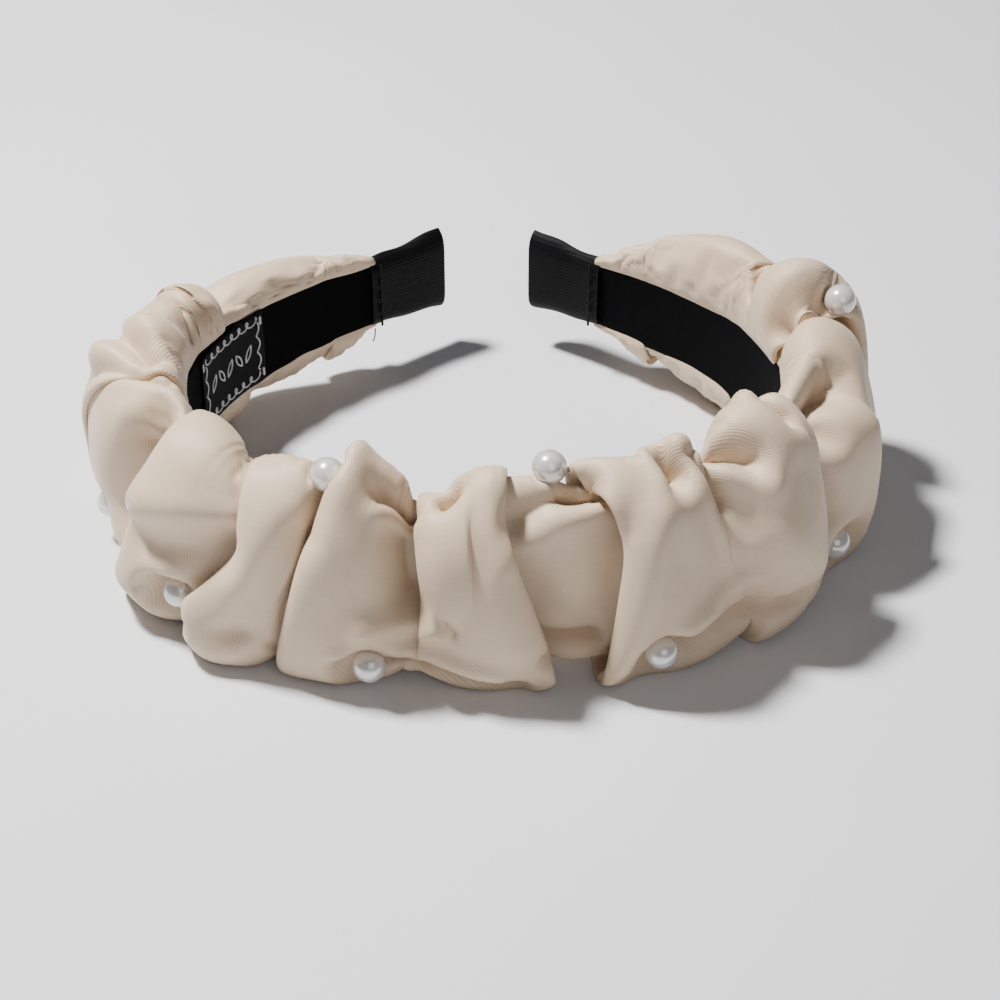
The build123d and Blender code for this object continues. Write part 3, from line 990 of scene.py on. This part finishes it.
def draw_in_ends(points):
    """Bring the last few millimetres of both ends down onto the sleeves."""
    middle = place_on_hoop(places, 0.0, 0.0)[..., :2]
    _, _, out = hoop_frame(places)
    reach = ((points[..., :2] - middle) * out).sum(-1) / MM
    height = points[..., 2] / MM - MID_Z
    share = np.clip((np.abs(places) - (SEAM_AT - END_RUN)) / (END_RUN - 1.0), 0, 1)
    share = share * share * (3 - 2 * share)
    back = np.minimum(END_REACH - reach, 0) * share
    lift = (np.clip(height, -END_HALF, END_HALF) - height) * share
    flat = points[..., :2] + out * (back * MM)[..., None]
    return np.concatenate([flat, (points[..., 2] + lift * MM)[..., None]], -1)


surface = draw_in_ends(surface)

# %% Small wrinkles, and the floor of the cover
# The hems are given as shares of the way across the cloth, and the wrinkles' heights in mm.
HEM_ROWS = (0.24, 0.80)
HEM_SPREAD = 0.06
GATHER_HEIGHT = 0.10
RIPPLE_HEIGHT = 0.20


def cover_normals(points):
    """Outward normals of a grid of points."""
    along = np.gradient(points, axis=0)
    across = np.gradient(points, axis=1)
    normal = np.cross(across, along)
    return normal / np.maximum(np.linalg.norm(normal, axis=-1), 1e-12)[..., None]


def gather_creases(points, cloth):
    """Fine gathers that start at the two hems and die out on the face."""
    rows = np.linspace(0, 1, points.shape[1])
    near_hem = sum(np.exp(-((rows - hem) / HEM_SPREAD) ** 2) for hem in HEM_ROWS)
    run = cloth[..., 0]
    wave = np.sin(run * 1.9 + 1.3 * np.sin(run * 0.23)) + 0.6 * np.sin(run * 3.1 + 2.0)
    broad = np.sin(run * 0.31 + 4.0 * rows[None, :]) * np.sin(rows * math.pi)[None, :]
    return (GATHER_HEIGHT * wave * near_hem[None, :] + RIPPLE_HEIGHT * broad) * MM


def cloth_map(points):
    """Each point's place on the flat cloth, in millimetres."""
    middle = points.shape[1] // 2
    along = running_length(points[:, middle - 8:middle + 9])
    across = running_length(points.transpose(1, 0, 2))
    return np.stack(np.broadcast_arrays(along[:, None], across[None, :]), -1)


def rest_on_table(height, least, soft):
    """Heights kept above least, with a soft bend that starts soft above it."""
    low = least + soft
    return np.where(height < low, low - soft * np.tanh((low - height) / soft), height)


TABLE_GAP = 0.5
TABLE_SOFT = 0.8
cover_cloth = cloth_map(surface)
surface = surface + cover_normals(surface) * gather_creases(surface, cover_cloth)[..., None]
surface[..., 2] = rest_on_table(surface[..., 2], TABLE_GAP * MM, TABLE_SOFT * MM)
print(f"cloth used along the band {cover_cloth[-1, 0, 0]:.0f} mm, across {cover_cloth[0, -1, 1]:.0f} mm")

# %% Two halves that meet inside a fold
meeting = fold_start["ridge_middle"]
split = int(np.argmin(np.abs(along_at - (meeting + 0.5))))
cover_halves = {"left": (0, split + 1), "right": (split, len(surface))}
SATIN_THICKNESS = 0.45
for word, side in SIDES:
    first, last = cover_halves[word]
    cover = grid_piece(f"satin_cover_{word}", surface[first:last], cover_cloth[first:last], satin)
    thicken(cover, SATIN_THICKNESS)
    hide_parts(*(["cover_crown"] if word == "left" else []), f"cover_{word}")
    bend_at_shoulder(cover)


# %% [markdown]
# ## Wadding
#
# A strip of wadding is glued along the outside of the core, under the satin. It is a long domed
# pad, so it is drawn from its section, swept along the hoop and given a slightly lumpy surface. It
# is made in two halves, like the cover.

# %% The wadding strip


def ring_piece(name, distances, section, material, ends=(0, 1)):
    """Tube through section(distance), a list of (reach, height) going round, capped at the given ends."""
    rings = np.array([section(d) for d in distances])
    places_round = np.broadcast_to(np.asarray(distances)[:, None], rings.shape[:2])
    points = place_on_hoop(places_round, rings[..., 0], rings[..., 1])
    count = rings.shape[1]
    ring = np.linalg.norm(np.diff(np.concatenate([rings, rings[:, :1]], 1), axis=1), axis=-1).mean(0)
    round_it = np.concatenate([[0], np.cumsum(ring)])[:count]
    cloth = np.stack(np.broadcast_arrays(running_length(points)[:, None], round_it[None, :]), -1)
    piece = grid_piece(name, points, cloth, material, closed_rows=True)
    close_ends(piece.data, len(distances), count, ends)
    return piece


def close_ends(mesh, columns, count, ends):
    """Fill open ends of a tube with a fan about a middle point."""
    shell = bmesh.new()
    shell.from_mesh(mesh)
    shell.verts.ensure_lookup_table()
    layer = shell.loops.layers.uv.verify()
    rims = [[shell.verts[first + n] for n in range(count)] for first in (0, (columns - 1) * count)]
    for first, rim in enumerate(rims):
        if first not in ends:
            continue
        middle = shell.verts.new(sum((v.co for v in rim), Vector()) / count)
        for n in range(count):
            pair = (rim[n], rim[(n + 1) % count], middle)
            face = shell.faces.new(pair if first else pair[::-1])
            face.smooth = True
            for corner in face.loops:
                corner[layer].uv = (n * 0.1, 0)
    bmesh.ops.recalc_face_normals(shell, faces=shell.faces)
    shell.to_mesh(mesh)
    shell.free()


def wadding_section(distance):
    """Flat back on the core and a domed, slightly uneven face."""
    half = core_half(distance) - 0.3
    peak = WADDING_EDGE + WADDING_SWELL * float(wadding_fullness(distance))
    turn = np.linspace(-math.pi / 2, math.pi / 2, 22)
    lumps = 0.18 * np.sin(distance * 0.9 + 3 * turn) * np.cos(turn)
    reach = WADDING_BACK + peak * np.cos(turn) * (1 + lumps)
    face = list(zip(reach, MID_Z + half * np.sin(turn)))
    back = [(WADDING_BACK - HIDDEN_SINK, MID_Z + half * h) for h in (0.6, 0.2, -0.2, -0.6)]
    return face + back


for word, side in SIDES:
    reachable = side * np.linspace(0.0 if side > 0 else 0.05, SEAM_AT - 0.5, 110)
    pad = ring_piece(f"wadding_strip_{word}", reachable, wadding_section, wadding_fibre)
    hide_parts(*(["wadding_crown"] if word == "left" else []), f"wadding_{word}")
    bend_at_shoulder(pad)

# %% [markdown]
# ## Lining
#
# The lining is a black ribbon glued over the inside of the core and over both turned hems. Its face
# sits slightly proud over the hems and its edges wander a little, as a hand-glued ribbon does. The
# last stretch goes on inside the sleeve, so the sleeve's mouth closes on it.

# %% The black lining
# At the shoulders the stiff core cuts the corner of the curve, so the lining stands a little
# further in there.
SHOULDER_AT = 68.0
SHOULDER_RUN = 18.0
SHOULDER_SHIFT = 0.55
LINING_IN_SLEEVE = 2.5


def lining_section(distance):
    """Thin strip with rounded edges, a touch hollow in the middle."""
    wander = 0.25 * math.sin(distance * 0.21) + 0.15 * math.sin(distance * 0.67 + 1.0)
    half = core_half(distance) + 0.2
    across = np.linspace(-1, 1, 17)
    shift = -SHOULDER_SHIFT * math.exp(-(((abs(distance) - SHOULDER_AT) / SHOULDER_RUN) ** 2))
    face_reach = shift + 0.02 + 0.22 * (1 - across**2) + 0.35 * across**8
    face = list(zip(face_reach, MID_Z + half * across + wander * np.abs(across) ** 3))
    back_reach = 0.80 + 0.1 * (1 - across**2)
    back = list(zip(back_reach, MID_Z + half * across * 0.995 + wander * np.abs(across) ** 3))
    return face + back[::-1]


for word, side in SIDES:
    reachable = side * np.linspace(0.0, SEAM_AT + LINING_IN_SLEEVE, 120)
    strip = ring_piece(f"black_lining_{word}", reachable, lining_section, lining_cloth)
    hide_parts(*(["lining_crown"] if word == "left" else []), f"lining_{word}")
    bend_at_shoulder(strip)

# %% [markdown]
# ## Ribbon sleeves
#
# Each end of the hoop is slipped into a pocket of black ribbed ribbon. The ribbon is folded over
# the tip and its end is sewn down, which leaves the tip a little wider than the mouth, with soft
# waves in its edges. Ribs run along the hoop and follow the cloth's coordinates.

# %% A sleeve as a flat pocket
RIB_PITCH = 0.86
RIB_HEIGHT = 0.13
MOUTH_HALF = 9.4
TIP_FLARE = 1.5
INNER_FACE = -0.75
OUTER_FACE = 4.0


def sleeve_section(distance):
    """Flat loop of ribbed ribbon that flares and thins towards the tip."""
    beyond = max(0.0, (abs(distance) - SEAM_AT) / SLEEVE_LENGTH)
    wave = 0.35 * math.sin(beyond * 9.0 + (0.0 if distance < 0 else 1.7))
    flare = MOUTH_HALF + TIP_FLARE * beyond**1.5
    inner = INNER_FACE + 0.25 * math.sin(beyond * 5.0)
    outer = OUTER_FACE - 0.3 * beyond
    across = np.linspace(-1, 1, 150)
    height = np.where(across > 0, flare + wave, flare - 0.6 * wave) * across
    bulge = 1 - np.abs(across) ** 7
    rib = RIB_HEIGHT * np.sqrt(np.abs(np.sin(math.pi * height / RIB_PITCH))) * np.minimum(1, 6 * bulge)
    middle = (inner + outer) / 2
    face = [(middle + (inner - middle) * b - r, MID_Z + h) for b, r, h in zip(bulge, rib, height)]
    back = [(middle + (outer - middle) * b + r, MID_Z + h) for b, r, h in zip(bulge, rib, height)]
    return face[:-1] + back[::-1][:-1]


SLEEVE_ENDS = {"left": 1.6, "right": 0.8}


def sleeve_piece(word, side):
    distances = side * np.linspace(SEAM_AT - 0.6, HALF_LENGTH + SLEEVE_ENDS[word], 44)
    piece = ring_piece(f"ribbon_sleeve_{word}", distances, sleeve_section, ribbon_cloth, ends=(1,))
    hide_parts(f"sleeve_{word}")
    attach(piece, f"arm_{word}")
    return piece


for word, side in SIDES:
    sleeve_piece(word, side)

# %% [markdown]
# ## Woven label
#
# The label is a small damask tag tacked inside the left arm. A real one carries words, so this one
# has a plain woven motif instead: a silver border of running scrolls with a row of small leaves
# inside it. Each line of the motif is a raised thread, a thin bevelled curve that lies on the
# label.

# %% The label's ground
LABEL_MIDDLE = -115.0
LABEL_LENGTH = 25.0
LABEL_HALF = 9.4
THREAD_LIFT = 0.05


def label_place(along, up, lift):
    """Point on the label from places along and up it, in millimetres, lifted off its face."""
    along = np.asarray(along, float)
    up = np.asarray(up, float)
    return place_on_hoop(LABEL_MIDDLE + along, -0.34 - lift + 0 * along, MID_Z + up)


def label_section(distance):
    across = np.linspace(-1, 1, 15)
    face = [(-0.36, MID_Z + LABEL_HALF * a) for a in across]
    back = [(-0.04, MID_Z + LABEL_HALF * a) for a in across[::-1]]
    return face + back


label_run = LABEL_MIDDLE + np.linspace(-LABEL_LENGTH / 2, LABEL_LENGTH / 2, 40)
label_piece = ring_piece("woven_label", label_run, label_section, label_cloth)
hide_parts("label")
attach(label_piece, "arm_left")

# %% The label's raised motif


def thread_curve(name, lines, radius, material):
    """One mesh of thin threads along several lines of points."""
    curve = bpy.data.curves.new(name, "CURVE")
    curve.dimensions = "3D"
    curve.bevel_depth = radius * MM
    curve.bevel_resolution = 2
    for points, cyclic in lines:
        spline = curve.splines.new("POLY")
        spline.points.add(len(points) - 1)
        weighted = np.concatenate([points, np.ones((len(points), 1))], 1).astype(np.float32)
        spline.points.foreach_set("co", weighted.reshape(-1))
        spline.use_cyclic_u = cyclic
    holder = bpy.data.objects.new(name, curve)
    scene.collection.objects.link(holder)
    bpy.context.view_layer.update()
    mesh = bpy.data.meshes.new_from_object(holder.evaluated_get(bpy.context.evaluated_depsgraph_get()))
    bpy.data.objects.remove(holder)
    return link_piece(name, mesh, material)


def scroll(start, end, level, height, loops):
    """Running scroll along one edge: a wave whose crests curl over."""
    turn = np.linspace(0, loops * 2 * math.pi, loops * 26)
    run = start + (end - start) * turn / turn[-1]
    curl = 1.75 * (end - start) / (loops * 2 * math.pi)
    return label_place(run - 1.2 * curl * np.sin(turn), level + height * np.cos(turn), THREAD_LIFT), False


def leaf(middle, size, lean):
    """A pointed leaf outline."""
    turn = np.linspace(0, 2 * math.pi, 24, endpoint=False)
    long = size * np.cos(turn)
    wide = 0.34 * size * np.sin(turn) * np.abs(np.sin(turn))
    along = middle + long * math.cos(lean) - wide * math.sin(lean)
    up = long * math.sin(lean) + wide * math.cos(lean)
    return label_place(along, up, THREAD_LIFT), True


BORDER_RUN = LABEL_LENGTH / 2 - 2.4
BORDER_RISE = LABEL_HALF - 2.0
SCROLL_RISE = 0.9
SCROLL_LOOPS = 7
LEAVES = 5
LEAF_GAP = 3.5
LEAF_SIZE = 2.1
LEAF_LEAN = 62
SILVER_RADIUS = 0.19
motif = [
    scroll(-BORDER_RUN, BORDER_RUN, level, SCROLL_RISE, SCROLL_LOOPS)
    for level in (-BORDER_RISE, BORDER_RISE)
]
for end in (-1, 1):
    turn = np.linspace(0, 3 * 2 * math.pi, 70)
    up = np.linspace(-BORDER_RISE + SCROLL_RISE, BORDER_RISE - SCROLL_RISE, 70)
    side_run = end * (BORDER_RUN + 0.5) + 0.5 * np.sin(turn)
    motif.append((label_place(side_run, up + 0.35 * np.cos(turn), THREAD_LIFT), False))
for number in range(LEAVES):
    lean = math.radians(LEAF_LEAN if number % 2 else -LEAF_LEAN)
    motif.append(leaf(LEAF_GAP * (number - (LEAVES - 1) / 2), LEAF_SIZE, lean))
border = thread_curve("label_motif", motif, SILVER_RADIUS, silver_thread)
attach(border, "arm_left")
print("motif lines", len(motif))

# %% [markdown]
# ## Stitches
#
# Sewing thread shows in three places: a row of short stitches at each sleeve's mouth, a tack at
# each corner of the label, and one loose tail of thread that hangs from the left sleeve's seam. The
# packed stitches already have the right size and place, so they stay, with a thread finish.

# %% Loose tail of thread
TAIL_RADIUS = 0.16
tail_turn = np.linspace(0, 1, 24)
tail_run = -(SEAM_AT - 0.6 - 1.1 * tail_turn**2)
tail_points = place_on_hoop(tail_run, -1.3 - 0.6 * tail_turn, MID_Z - 8.4 - 3.0 * tail_turn)
tail = thread_curve("thread_tail", [(tail_points, False)], TAIL_RADIUS, black_thread)
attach(tail, "arm_left")

# %% [markdown]
# ## Hard pieces that stay
#
# The hoop core, pearls, rivets and stitches are right as packed, so their shapes are kept and only
# their finish is made. Each node's material slots are filled with the matching finish by the start
# of its name.

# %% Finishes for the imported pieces
NODE_FINISHES = {
    "core_": core_plastic,
    "pearl_": pearl_coat,
    "rivets_": rivet_metal,
    "sleeve_stitches_": black_thread,
    "label_stitches": silver_thread,
    "tacks_": satin_thread,
}
dressed = 0
for name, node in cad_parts.items():
    for start, material in NODE_FINISHES.items():
        if name.startswith(start):
            node.data.materials.clear()
            node.data.materials.append(material)
            for polygon in node.data.polygons:
                polygon.use_smooth = start != "core_"
            dressed += 1
print("packed pieces dressed", dressed)
